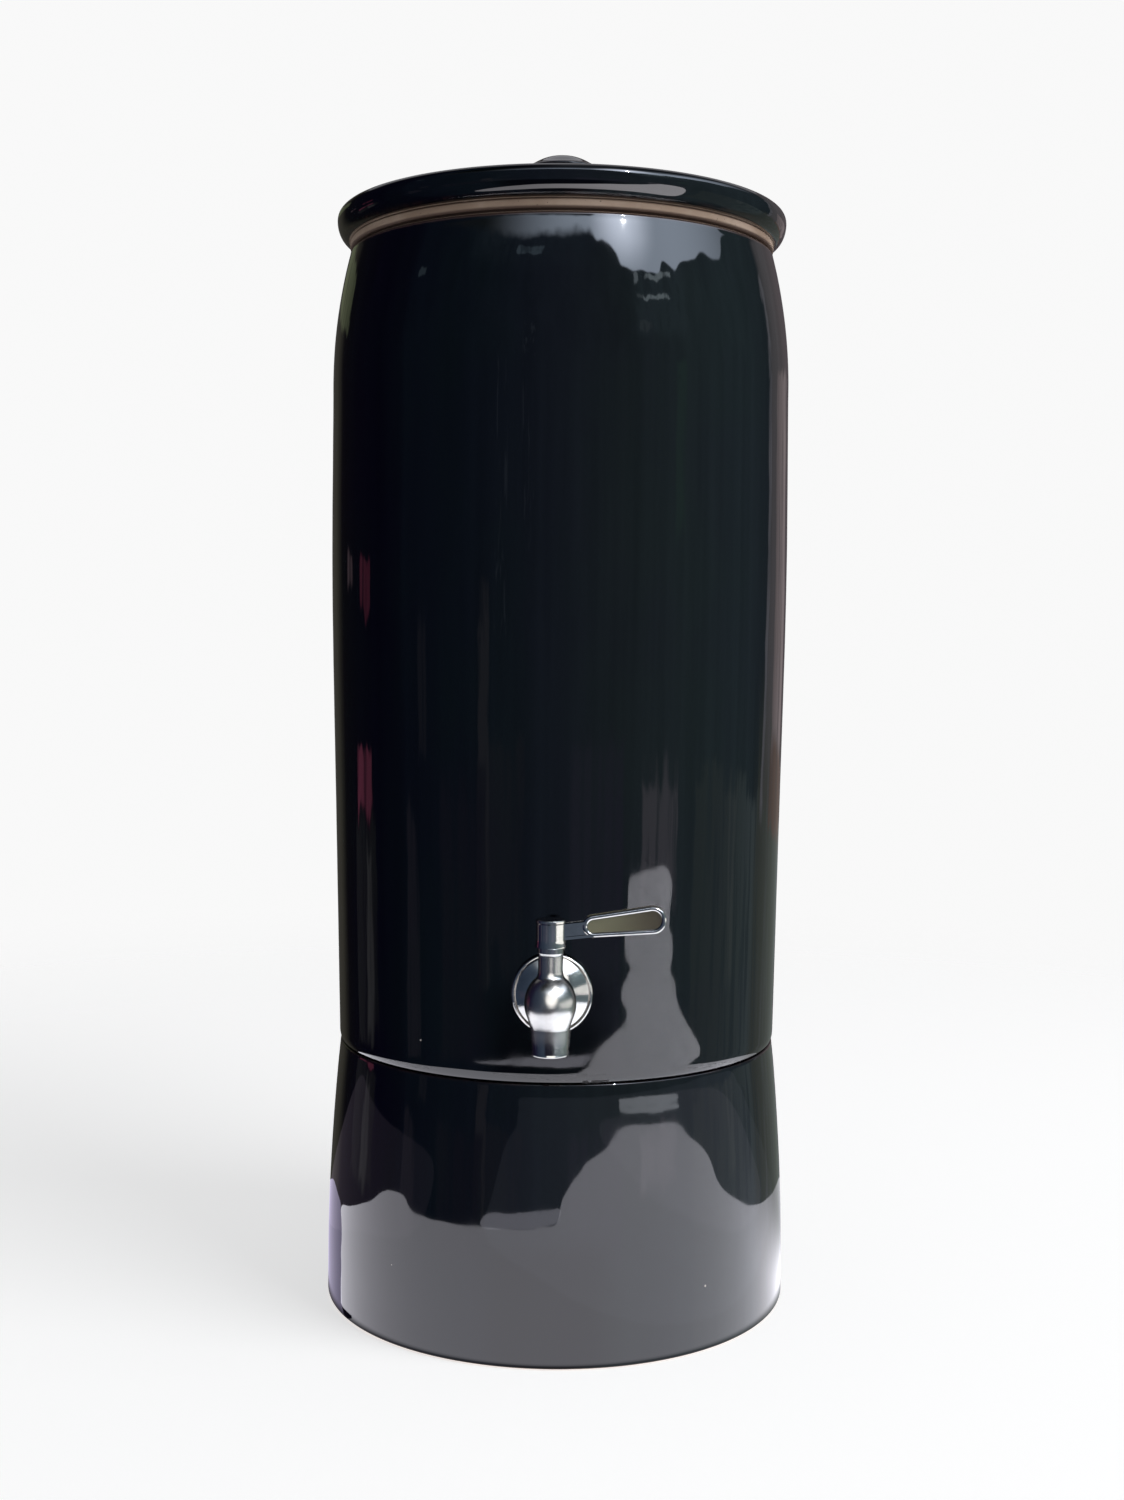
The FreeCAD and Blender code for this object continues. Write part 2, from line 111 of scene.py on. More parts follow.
class Tree:
    """Node tree of one finish, of the floor or of the surroundings."""

    def __init__(self, owner):
        owner.use_nodes = True
        self.nodes = owner.node_tree.nodes
        self.links = owner.node_tree.links
        self.nodes.clear()

    def node(self, kind, settings=None, sockets=None, out=0):
        """Adds a node, first its settings, then the values or links of its sockets; gives one output."""
        made = self.nodes.new(kind)
        for name, value in (settings or {}).items():
            if name == "stops":
                self.set_stops(made.color_ramp, value)
            elif name == "points":
                self.set_points(made.mapping, value)
            else:
                setattr(made, name, value)
        for key, value in (sockets or {}).items():
            if isinstance(value, Wire):
                self.links.new(value.socket, made.inputs[key])
            else:
                made.inputs[key].default_value = value
        return Wire(self, made.outputs[out]) if made.outputs else None

    @staticmethod
    def set_stops(ramp, stops):
        while len(ramp.elements) < len(stops):
            ramp.elements.new(1.0)
        for element, (position, colour) in zip(ramp.elements, stops):
            element.position = position
            element.color = (*colour, 1.0)

    @staticmethod
    def set_points(mapping, points):
        curve = mapping.curves[0]
        while len(curve.points) < len(points):
            curve.points.new(0.5, 0.5)
        for spot, place in zip(curve.points, points):
            spot.location = place
        mapping.update()

    def place(self):
        """Coordinates of a point of the object, in metres."""
        return self.node("ShaderNodeTexCoord", out="Object")

    def parts(self, vector):
        """X, Y and Z of a vector."""
        return [self.node("ShaderNodeSeparateXYZ", None, {0: vector}, out=axis) for axis in "XYZ"]

    def millimetres(self, place):
        """X, Y and Z of a place, in millimetres."""
        return [part / MM for part in self.parts(place)]

    def scaled(self, vector, scale):
        """Vector with each of its parts times its own scale."""
        return self.node("ShaderNodeVectorMath", {"operation": "MULTIPLY"}, {0: vector, 1: scale})

    def times(self, vector, amount):
        """Vector or colour times one amount."""
        return self.node("ShaderNodeVectorMath", {"operation": "SCALE"}, {0: vector, "Scale": amount})

    def grain(self, vector, scale, detail=3.0, roughness=0.55):
        """Noise from 0 to 1."""
        values = {"Vector": vector, "Scale": scale, "Detail": detail, "Roughness": roughness}
        return self.node("ShaderNodeTexNoise", None, values)

    def mix(self, mask, first, second):
        """First colour where the mask is 0, second where it is 1."""
        first, second = (tone if isinstance(tone, Wire) else (*tone, 1.0) for tone in (first, second))
        return self.node("ShaderNodeMix", {"data_type": "RGBA"}, {0: mask, 6: first, 7: second}, out=2)

    def bump(self, height, distance):
        """Normal of a relief; distance is what a height of 1 stands for, in metres."""
        return self.node("ShaderNodeBump", None, {"Height": height, "Strength": 1.0, "Distance": distance})

    def surface(self, **sockets):
        """The Principled surface; underscores in the names stand for spaces."""
        values = {name.replace("_", " "): value for name, value in sockets.items()}
        shader = self.node("ShaderNodeBsdfPrincipled", None, values)
        self.node("ShaderNodeOutputMaterial", None, {"Surface": shader})


def new_finish(name):
    """Empty material and its node tree."""
    material = bpy.data.materials.new(name)
    return material, Tree(material)


def from_axis(x, y):
    """Distance from the upright axis."""
    return (x * x + y * y).math("SQRT")


def from_front(x, y):
    """Direction round the upright axis in degrees: 0 at the front, 90 at the right."""
    return x.math("ARCTAN2", y * -1) * (180 / math.pi)


# ---------------------------------------------------------------- pottery finishes

NIGHT_BLUE = (0.0008, 0.0009, 0.0024)
DEEP_GREEN = (0.0010, 0.0024, 0.0024)
IRON_BROWN = (0.030, 0.013, 0.010)
THIN_GLAZE = (0.055, 0.034, 0.030)
BARE_CLAY = (0.355, 0.255, 0.190)
PALE_CLAY = (0.470, 0.355, 0.278)
RED_CLAY = (0.280, 0.173, 0.123)
# colour of the painted shade along the clay flange's edges, under the lid and above the vessel's lip
SHADED_CLAY = (0.075, 0.042, 0.033)
DAMP_CLAY = (0.285, 0.183, 0.129)
IRON_SPECK = (0.070, 0.045, 0.030)
PINHOLE = (0.550, 0.500, 0.450)
CHIP = (0.010, 0.008, 0.008)

GLAZE_RELIEF = 0.00006      # metres that a height of 1 stands for in the finishes' bumps
CLAY_RELIEF = 0.00022
POLISH_RELIEF = 0.00002
TURNED_RELIEF = 0.00004
RUBBER_RELIEF = 0.00005


def clay_colour(tree, place):
    """Mottled clay with fine iron specks."""
    cloud = tree.grain(place, 38.0, 4.0)
    body = tree.mix(cloud.rise(0.38, 0.66), BARE_CLAY, PALE_CLAY)
    warm = tree.grain(tree.scaled(place, (1.0, 1.0, 6.0)), 17.0, 2.0)
    body = tree.mix(warm.rise(0.5, 0.78) * 0.45, body, RED_CLAY)
    specks = tree.grain(place, 900.0, 1.0).rise(0.70, 0.78)
    return tree.mix(specks * 0.7, body, IRON_SPECK)


def clay_relief(tree, place):
    """Bump height of raw clay: sand grains and shallow drag lines of the rib."""
    sand = tree.grain(place, 1300.0, 2.0)
    drag = tree.grain(tree.scaled(place, (0.25, 0.25, 9.0)), 90.0, 2.0)
    return sand * 0.6 + drag * 0.8


def glazed(name, bare, thin, pinholes=(), wear=None):
    """Black glaze. The masks bare and thin, by radius and height, say where glaze is missing or thin, and
    wear says where it is chipped. A pinhole is a place and a size. All are in millimetres."""
    material, tree = new_finish(name)
    place = tree.place()
    x, y, z = tree.millimetres(place)
    radius = from_axis(x, y)
    bare_mask = bare(radius, z)
    thin_mask = thin(radius, z)

    runs = tree.grain(tree.scaled(place, (1.0, 1.0, 0.10)), 55.0, 3.0)
    cloud = tree.grain(place, 14.0, 3.0)
    colour = tree.mix((cloud * 0.6 + runs * 0.4).rise(0.40, 0.62), NIGHT_BLUE, DEEP_GREEN)
    flow = tree.grain(tree.scaled(place, (1.0, 1.0, 0.35)), 190.0, 3.0)
    colour = tree.mix(thin_mask * flow.rise(0.30, 0.72), colour, IRON_BROWN)
    colour = tree.mix((thin_mask - 0.80) * 5.0, colour, THIN_GLAZE)

    pits = 0.0
    for px, py, pz, size in pinholes:
        spot = tree.node("ShaderNodeVectorMath", {"operation": "DISTANCE"},
                         {0: place, 1: (px * MM, py * MM, pz * MM)}, out="Value")
        pits = spot.rise(size * MM, size * MM * 0.5) + pits
    if pinholes:
        colour = tree.mix(pits, colour, PINHOLE)

    chips = 0.0
    if wear:
        chips = wear(tree, place, from_front(x, y), z)
        colour = tree.mix(chips, colour, CHIP)

    colour = tree.mix(bare_mask, colour, clay_colour(tree, place))
    smear = tree.grain(tree.scaled(place, (1.0, 1.0, 0.4)), 75.0, 4.0)
    gloss = smear.rise(0.45, 0.85) * 0.04 + 0.03
    roughness = gloss + bare_mask.most(chips) * 0.80

    swell = tree.grain(tree.scaled(place, (1.0, 1.0, 0.6)), 85.0, 1.0)
    micro = tree.grain(place, 420.0, 1.0)
    glaze_height = swell * 0.55 + micro * 0.02 - pits * 2.0
    height = glaze_height * (1 - bare_mask) + clay_relief(tree, place) * bare_mask
    tree.surface(Base_Color=colour, Roughness=roughness, IOR=1.5, Normal=tree.bump(height, GLAZE_RELIEF))
    return material


def raw_clay(name):
    """Porous filter clay with sand grain, specks and water marks, with painted shade along the edges of its
    flange.
    """
    material, tree = new_finish(name)
    place = tree.place()
    z = tree.millimetres(place)[2]
    colour = clay_colour(tree, place)
    damp = tree.grain(tree.scaled(place, (1.0, 1.0, 2.5)), 24.0, 4.0)
    colour = tree.mix(damp.rise(0.52, 0.70) * 0.30, colour, DAMP_CLAY)
    # painted shade: the clay darkens at its top edge under the lid's rim and at its lower edge in the gap
    # above the vessel's lip
    painted_shade = z.rise(438.9, 438.0) + z.rise(440.5, 441.3)
    colour = tree.mix(painted_shade * 0.85, colour, SHADED_CLAY)
    roughness = tree.grain(place, 60.0) * 0.12 + 0.82
    tree.surface(Base_Color=colour, Roughness=roughness,
                 Normal=tree.bump(clay_relief(tree, place), CLAY_RELIEF))
    return material


# ---------------------------------------------------------------- tap finishes

BRIGHT_STEEL = (0.470, 0.445, 0.410)
CLOUDY_STEEL = (0.410, 0.390, 0.360)
PANEL_OLIVE_LIT = (0.520, 0.450, 0.260)      # olive of the lever's panel, with a painted reflection: lighter next to the arm, darker at its far end
PANEL_OLIVE_SHADED = (0.235, 0.185, 0.120)
TURNED_STEEL = (0.520, 0.520, 0.530)
STAINED_STEEL = (0.400, 0.390, 0.380)
MILKY_RUBBER = (0.660, 0.660, 0.630)
DUSTY_RUBBER = (0.550, 0.550, 0.520)


def polished_steel(name, worn, panel=False, thread=False):
    """Steel with faint polishing marks; worn adds roughness by Y and Z in millimetres. The lever's sunk panel
    is satin and olive with a painted reflection, lighter next to the arm and darker at its far end, and the
    shank has a thread of 1 mm a turn."""
    material, tree = new_finish(name)
    place = tree.place()
    x, y, z = tree.millimetres(place)
    cloud = tree.grain(place, 160.0, 3.0)
    marks = tree.grain(tree.scaled(place, (1.0, 1.0, 14.0)), 420.0, 2.0)
    colour = tree.mix(cloud.rise(0.35, 0.70), BRIGHT_STEEL, CLOUDY_STEEL)
    roughness = marks * 0.06 + cloud * 0.05 + 0.045 + worn(y, z)
    height = marks * 0.4 + cloud
    if panel:
        sunk = abs(y + SPOUT_OUT).rise(1.3, 1.0) * x.rise(12.5, 13.5)
        # painted reflection: the olive panel goes from lighter next to the arm to darker at its far end
        colour = tree.mix(sunk, colour, tree.mix(x.rise(16.0, 40.0), PANEL_OLIVE_LIT, PANEL_OLIVE_SHADED))
        roughness = roughness + sunk * 0.30
    if thread:
        shank = y.rise(-86.0, -85.5)
        turns = (y * 2 * math.pi + x.math("ARCTAN2", z - TAP_HEIGHT)).math("SINE")
        height = height * (1 - shank) + turns * shank * 3.0
        roughness = roughness + shank * 0.2
    tree.surface(Base_Color=colour, Roughness=roughness, Metallic=1.0,
                 Normal=tree.bump(height, POLISH_RELIEF))
    return material


def machined_steel(name):
    """Plain steel of the washer, the nut and the core, with turning marks."""
    material, tree = new_finish(name)
    place = tree.place()
    marks = tree.grain(tree.scaled(place, (1.0, 18.0, 1.0)), 300.0, 3.0)
    stain = tree.grain(place, 120.0, 4.0)
    colour = tree.mix(stain.rise(0.4, 0.7), TURNED_STEEL, STAINED_STEEL)
    tree.surface(Base_Color=colour, Roughness=marks * 0.18 + 0.24, Metallic=1.0,
                 Normal=tree.bump(marks, TURNED_RELIEF))
    return material


def silicone(name):
    """Milky soft rubber with fine moulding texture and a little dust."""
    material, tree = new_finish(name)
    place = tree.place()
    haze = tree.grain(place, 240.0, 3.0)
    colour = tree.mix(haze.rise(0.35, 0.70), MILKY_RUBBER, DUSTY_RUBBER)
    tree.surface(Base_Color=colour, Roughness=haze * 0.2 + 0.38,
                 Normal=tree.bump(tree.grain(place, 1500.0, 1.0), RUBBER_RELIEF))
    return material


# ---------------------------------------------------------------- thrown pottery

def quarter(start, end, sideways_first, count):
    """Points of a quarter round after its start, which sets out sideways or upwards."""
    points = []
    for step in range(1, count + 1):
        turn = math.pi / 2 * step / count
        along, up = math.sin(turn), 1 - math.cos(turn)
        if not sideways_first:
            along, up = up, along
        points.append((start[0] + (end[0] - start[0]) * along, start[1] + (end[1] - start[1]) * up))
    return points


def sweep(start, end, leave, arrive, count):
    """Points of a curve after its start; handles are shares of the run and of the rise."""
    run, rise = end[0] - start[0], end[1] - start[1]
    poles = (start, (start[0] + leave[0] * run, start[1] + leave[1] * rise),
             (end[0] - arrive[0] * run, end[1] - arrive[1] * rise), end)
    points = []
    for step in range(1, count + 1):
        t = step / count
        shares = ((1 - t) ** 3, 3 * t * (1 - t) ** 2, 3 * t * t * (1 - t), t ** 3)
        points.append(tuple(sum(s * p[axis] for s, p in zip(shares, poles)) for axis in (0, 1)))
    return points


def straight(start, end, count=1):
    """Points of a straight line after its start."""
    return [(start[0] + (end[0] - start[0]) * step / count, start[1] + (end[1] - start[1]) * step / count)
            for step in range(1, count + 1)]


def outline(start, *moves):
    """Joins moves into one list of points. A move is a function and what it needs after its start."""
    points = [start]
    for draw, end, *rest in moves:
        points.extend(draw(points[-1], end, *rest))
    return points


def angles():
    """Directions round the axis in degrees from the front, finer near the tap."""
    fine_steps = math.ceil(2 * NEAR_TAP / FINE_TURN)
    coarse_steps = math.ceil((360 - 2 * NEAR_TAP) / COARSE_TURN)
    return ([-NEAR_TAP + FINE_TURN * step for step in range(fine_steps)]
            + [NEAR_TAP + COARSE_TURN * step for step in range(coarse_steps)])


def soften(mesh):
    """Smooth shading, apart from sharp edges."""
    mesh.shade_smooth()
    mesh.set_sharp_from_angle(angle=SHARP_EDGE)


def thrown(name, points, around, relief):
    """Pottery turned from an outline that starts and ends on the axis; relief moves each point outwards."""
    verts, faces, rows = [], [], []
    for number, (radius, height) in enumerate(points):
        if radius == 0:
            rows.append([len(verts)])
            verts.append((0.0, 0.0, height * MM))
            continue
        before = points[max(number - 1, 0)]
        after = points[min(number + 1, len(points) - 1)]
        along = Vector((after[0] - before[0], after[1] - before[1])).normalized()
        row = []
        for turn in around:
            angle = math.radians(turn)
            out = relief(radius, height, angle, along.y)
            r, h = radius + along.y * out, height - along.x * out
            row.append(len(verts))
            verts.append((math.sin(angle) * r * MM, -math.cos(angle) * r * MM, h * MM))
        rows.append(row)
    count = len(around)
    for low, high in zip(rows, rows[1:]):
        for step in range(count):
            nxt = (step + 1) % count
            ring = [low[step % len(low)], low[nxt % len(low)], high[nxt % len(high)], high[step % len(high)]]
            face = list(dict.fromkeys(ring))
            if len(face) > 2:
                faces.append(face)
    mesh = bpy.data.meshes.new(name)
    mesh.from_pydata(verts, [], faces)
    mesh.validate()
    soften(mesh)
    piece = bpy.data.objects.new(name, mesh)
    bpy.context.scene.collection.objects.link(piece)
    return piece


def fade(value, low, high):
    """0 below low, 1 above high, smooth between them."""
    share = min(max((value - low) / (high - low), 0.0), 1.0)
    return share * share * (3 - 2 * share)


RING_PITCH = 23.0           # height of one turn of the potter's finger rings
RING_DEPTH = 0.010          # depths of the rings, of the slow wobble, of the dimples and of the glaze runs
WOBBLE_DEPTH = 0.09
DIMPLE_DEPTH = 0.022
RUN_DEPTH = 0.003
RELIEF_FADE = 6.0           # height over which the relief starts and ends


def hand_made(seed, low, high):
    """Relief of the outer wall between two heights: finger rings, slow wobble, dimples and glaze runs."""
    def lump(x, y, height, across, upwards, shift):
        return noise.noise(Vector((x / across, y / across, height / upwards + shift)))

    def relief(radius, height, angle, facing_out):
        if facing_out <= 0.05:      # insides, undersides and tops stay plain
            return 0.0
        hold = fade(height, low, low + RELIEF_FADE) * fade(high - height, 0, RELIEF_FADE)
        hold *= min(1.0, facing_out * 2)
        x, y = math.sin(angle) * radius, -math.cos(angle) * radius
        drift = 0.6 * noise.noise(Vector((x / 80, y / 80, seed)))
        ring = math.sin(2 * math.pi * (height / RING_PITCH + drift) + angle + seed)
        ring *= 0.6 + lump(x, y, height, 60, 40, seed)
        wobble = lump(x, y, height, 75, 95, seed)
        dimple = lump(x, y, height, 24, 24, 2 * seed)
        runs = lump(x, y, height, 9, 120, 3 * seed)
        return hold * (RING_DEPTH * ring + WOBBLE_DEPTH * wobble + DIMPLE_DEPTH * dimple + RUN_DEPTH * runs)
    return relief


def flatten_pad(piece):
    """Flat seat inside the wall for the tap's washer and nut."""
    for vert in piece.data.vertices:
        x, y, z = (c / MM for c in vert.co)
        if y > 0 or math.hypot(x, y) > (SPOT_FACE + PAD_FACE) / 2 + 1:
            continue
        share = 1 - fade(math.hypot(x, z - TAP_HEIGHT), PAD_R, PAD_R + PAD_BLEND)
        vert.co.y = (y + (-PAD_FACE - y) * share) * MM


def bore(piece, radius, near, far):
    """Cuts a round hole along the tap's axis between two distances from the pot's axis."""
    bpy.ops.mesh.primitive_cylinder_add(
        vertices=96, radius=radius * MM, depth=(far - near) * MM,
        location=(0, -(near + far) / 2 * MM, TAP_HEIGHT * MM), rotation=(math.pi / 2, 0, 0))
    drill = bpy.context.object
    cut = piece.modifiers.new("bore", "BOOLEAN")
    cut.operation, cut.solver, cut.object = "DIFFERENCE", "EXACT", drill
    settled = bpy.data.meshes.new_from_object(piece.evaluated_get(bpy.context.evaluated_depsgraph_get()))
    piece.modifiers.clear()
    piece.data = settled
    bpy.data.objects.remove(drill)


STAND_OUTLINE = outline(
    (0, 0), (straight, (94.4, 0), 4), (quarter, (96, 1.8), True, 6), (straight, (96, 20), 10),
    (sweep, (91.4, 105.4), (0, 0.377), (0.323, 0.152), 60), (quarter, (90.8, 106), False, 4),
    (straight, (85.0, 106), 2), (quarter, (83.0, 104), True, 4),
    (sweep, (87.4, 20), (0.323, 0.152), (0, 0.377), 16), (straight, (87.4, 16)),
    (quarter, (80.4, 9), False, 5), (straight, (0, 9), 4),
)

VESSEL_OUTLINE = outline(
    (0, 100), (straight, (78.5, 100), 4), (quarter, (80.5, 102), True, 4), (straight, (80.5, 106), 2),
    (straight, (90.0, 106), 3), (quarter, (91.8, 110.5), True, 8),
    (sweep, (96.6, 330), (0.6625, 0.61), (0, 0.245), 150), (straight, (96.6, 375), 24),
    (sweep, (89.9, 435.2), (0, 0.13), (1.133, 0.513), 52), (quarter, (88.5, 436.6), False, 5),
    (straight, (82.9, 436.6), 2), (quarter, (81.5, 435.2), True, 4),
    (sweep, (88.2, 375), (1.133, 0.513), (0, 0.13), 16), (straight, (88.2, 330), 6),
    (sweep, (83.4, 121), (0, 0.245), (0.6625, 0.61), 60), (quarter, (74.4, 112), False, 6),
    (straight, (0, 112), 4),
)

LID_OUTLINE = outline(
    (0, 453), (straight, (11.5, 453), 2), (sweep, (48.6, 443), (0.45, 0), (0, 0.4), 12),
    (straight, (48.6, 433.6), 3), (straight, (56.1, 433.6), 2), (straight, (56.1, 441.6), 3),
    (straight, (89.9, 441.6), 8), (sweep, (95.3, 449.7), (0.6, 0.04), (0, 0.51), 14),
    (sweep, (91.2, 453.8), (0, 0.65), (0.59, 0.04), 10), (sweep, (24, 462), (0.3, 0.02), (0.35, 0.04), 40),
    (sweep, (11.5, 466.5), (0.75, 0.05), (0, 0.6), 10), (straight, (11.5, 469.5), 3),
    (sweep, (17.5, 473.25), (0, 0.6), (0.4, 0.3), 8), (sweep, (16.0, 475.1), (-0.5, 0.4), (0.9, 0.2), 6),
    (sweep, (3.5, 480), (0.25, 0.25), (0.45, 0), 12), (straight, (0, 480), 2),
)


def foot_chips(tree, place, angle, z):
    """Row of small dark chips along a worn stretch of the vessel's foot."""
    crumbs = tree.grain(place, 520.0, 1.0)
    return crumbs.rise(0.46, 0.50) * z.rise(108.0, 107.3) * angle.within(7.4, 13.6, 0.3)


def replace_pottery():
    """Puts the thrown pieces in the place of the plain solids."""
    around = angles()
    stand_glaze = glazed(
        "stand_glaze",
        bare=lambda r, z: z.rise(0.6, 0.2).most(r.rise(83.5, 82.8) * z.rise(103.5, 105.0)),
        thin=lambda r, z: z.within(105.6, 107.0, 0.6) * 0.4,
        pinholes=((59.6, -75.2, 25.2, 0.55), (-62.0, -73.3, 31.0, 0.35)))
    vessel_glaze = glazed(
        "vessel_glaze",
        bare=lambda r, z: z.rise(105.8, 105.4).most(z.within(436.4, 437.0, 0.2)),
        thin=lambda r, z: z.within(435.4, 437.0, 0.8),
        pinholes=((-50.9, -76.6, 119.0, 0.45), (52.0, -80.9, 401.0, 0.45)), wear=foot_chips)
    lid_glaze = glazed(
        "lid_glaze",
        bare=lambda r, z: z.rise(441.8, 441.5) + r.rise(60.0, 59.0) * z.rise(454.0, 453.6),
        thin=lambda r, z: z.within(441.0, 442.6, 1.2) * 0.35)
    rows = (
        ("thrown_stand", STAND_OUTLINE, hand_made(3.1, 6.0, 103.0), "base_stand", "stand", stand_glaze),
        ("thrown_vessel", VESSEL_OUTLINE, hand_made(7.7, 108.0, 434.0), "vessel", "pot", vessel_glaze),
        ("thrown_lid", LID_OUTLINE, hand_made(5.3, 442.0, 452.0), "lid", "cover", lid_glaze),
    )
    for name, points, relief, node, body, finish in rows:
        piece = thrown(name, points, around, relief)
        if node == "vessel":
            flatten_pad(piece)
            bore(piece, SPOT_R, SPOT_FACE, SPOT_FACE + DRILL_REACH)
            bore(piece, HOLE_R, SPOT_FACE - HOLE_REACH, SPOT_FACE + DRILL_REACH)
            soften(piece.data)
        piece.data.materials.clear()
        piece.data.materials.append(finish)
        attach(piece, body)
        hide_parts(node)


def dress_nodes():
    """Gives every solid that stays its finish: the bulb and the lever's back are the dullest of the steel."""
    finishes = {
        "filter_pot": raw_clay("filter_clay"),
        "tap_body": polished_steel(
            "tap_polish", lambda y, z: y.rise(-108.0, -111.0) * z.rise(127.0, 133.0) * 0.14, thread=True),
        "gland_nut": polished_steel("gland_polish", lambda y, z: 0.04),
        "lever_handle": polished_steel("lever_polish", lambda y, z: y.rise(-124.0, -122.5) * 0.5, panel=True),
        "cap_screw": polished_steel("cap_polish", lambda y, z: 0.03),
        "flat_washer": machined_steel("washer_steel"),
        "lock_nut": machined_steel("nut_steel"),
        "valve_core": machined_steel("core_steel"),
        "outer_washer": silicone("outer_washer_silicone"),
        "inner_washer": silicone("inner_washer_silicone"),
        "port_seal": silicone("port_seal_silicone"),
        "stem_o_ring": silicone("o_ring_silicone"),
    }
    for name, finish in finishes.items():
        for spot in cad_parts[name].material_slots:
            spot.material = finish
    for name in ("lever_handle", "cap_screw", "valve_core"):
        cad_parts[name].visible_glossy = False     # keeps their dark mirror image out of the glaze


# ---------------------------------------------------------------- studio

IMAGE_HEIGHT = 1500.0       # pixels, with a width of 1124
EYE_DISTANCE = 0.7724       # from the pot's axis
EYE_HEIGHT = 0.2739
EYE_AZIMUTH = math.radians(1.0)
EYE_ROLL = math.radians(0.42)
LENS = 43.32                # focal length and sensor height in millimetres
SENSOR = 36.0
SHIFT_X = 0.0020
SHIFT_Y = -110.0 / IMAGE_HEIGHT


def set_camera():
    """Level camera in front, a little above the pot's middle."""
    data = bpy.data.cameras.new("studio_camera")
    data.sensor_fit, data.sensor_width, data.sensor_height = "VERTICAL", SENSOR, SENSOR
    data.lens = LENS
    data.shift_x, data.shift_y = SHIFT_X, SHIFT_Y
    data.clip_start, data.clip_end = 0.02, 50.0
    camera = bpy.data.objects.new("studio_camera", data)
    across, away = math.sin(EYE_AZIMUTH) * EYE_DISTANCE, -math.cos(EYE_AZIMUTH) * EYE_DISTANCE
    camera.location = (across, away, EYE_HEIGHT)
    camera.rotation_euler = (math.pi / 2, -EYE_ROLL, EYE_AZIMUTH)
    bpy.context.scene.collection.objects.link(camera)
    bpy.context.scene.camera = camera


BACKDROP = 0.945            # brightness of the backdrop, and of the light from all round
SOFT_LIGHT = 0.22
SOFT_WHITE = (0.970, 0.985, 1.000)
TABLE_SIZE = 1.6
TABLE_FADE = (0.40, 1.1)    # distances from the pot's axis between which the table fades into the backdrop
TABLE_WHITE = (0.800, 0.800, 0.805)
TABLE_GLOW = 0.600
TABLE_LEVEL = -0.0002       # just under the stand; each part of the table lies a step lower
LEVEL_STEP = 0.0001
PART_ENDS = (-0.30, 0.35)   # places from left to right between which a part of the table brightens
PART_START = 0.35           # share of its growth by which a part is dimmer at the left
BEHIND = (125.0, 85.0)      # directions between which a part fades behind the pot, and what is left there
BEHIND_SHARE = 0.20
CONTACT = (0.0965, 0.1025)  # distances between which a part fades next to the stand, as painted contact shade, and what is left there
CONTACT_SHARE = 0.1

# Lit and shaded parts of the table, which only reflections show: the pieces that show each, its colour,
# how much it brightens to the right, and its edge in directions from the front in degrees and distances from
# the pot's axis in metres.
TAP_FACES = ("tap_body", "gland_nut", "lever_handle", "cap_screw")
SUN_EDGE = (
    (-60, 0.094), (-71, 0.102), (-82.5, 0.116), (-89, 0.129), (-94.5, 0.143), (-99.5, 0.164),
    (-104.5, 0.185), (-108, 0.200), (-107, 0.212), (-100, 0.226), (-93, 0.248), (-87, 0.272), (-81, 0.312),
    (-76, 0.333), (-68, 0.335), (-62, 0.307), (-48, 0.304), (-36, 0.310), (-29, 0.316), (-20, 0.320),
    (-5, 0.332), (2, 0.345), (3.5, 0.40), (5, 0.45), (8, 0.50), (12, 0.55), (15, 0.60), (20, 0.66),
    (24, 0.71), (27, 0.79), (31, 0.86), (37, 0.885), (45, 0.86), (53, 0.84), (59, 0.80), (62, 0.75),
    (64.5, 0.68), (68, 0.60), (72.5, 0.53), (76, 0.45), (78, 0.38), (81, 0.33), (87, 0.288), (94, 0.256),
    (104, 0.236), (116, 0.222), (135, 0.210), (152, 0.17), (165, 0.12), (180, 0.08), (-160, 0.05),
    (-120, 0.05))
TAP_SUN_EDGE = (
    (-84, 0.085), (-90, 0.115), (-97, 0.137), (-106, 0.167), (-111, 0.190), (-108, 0.208), (-100, 0.226),
    (-93, 0.248), (-87, 0.272), (-81, 0.312), (-76, 0.333), (-62, 0.310), (-36, 0.310), (-20, 0.330),
    (2, 0.360), (12, 0.400), (25, 0.420), (40, 0.400), (60, 0.370), (76, 0.350), (87, 0.288), (104, 0.236),
    (135, 0.210), (152, 0.17), (165, 0.12), (180, 0.08), (-160, 0.05), (-120, 0.05))
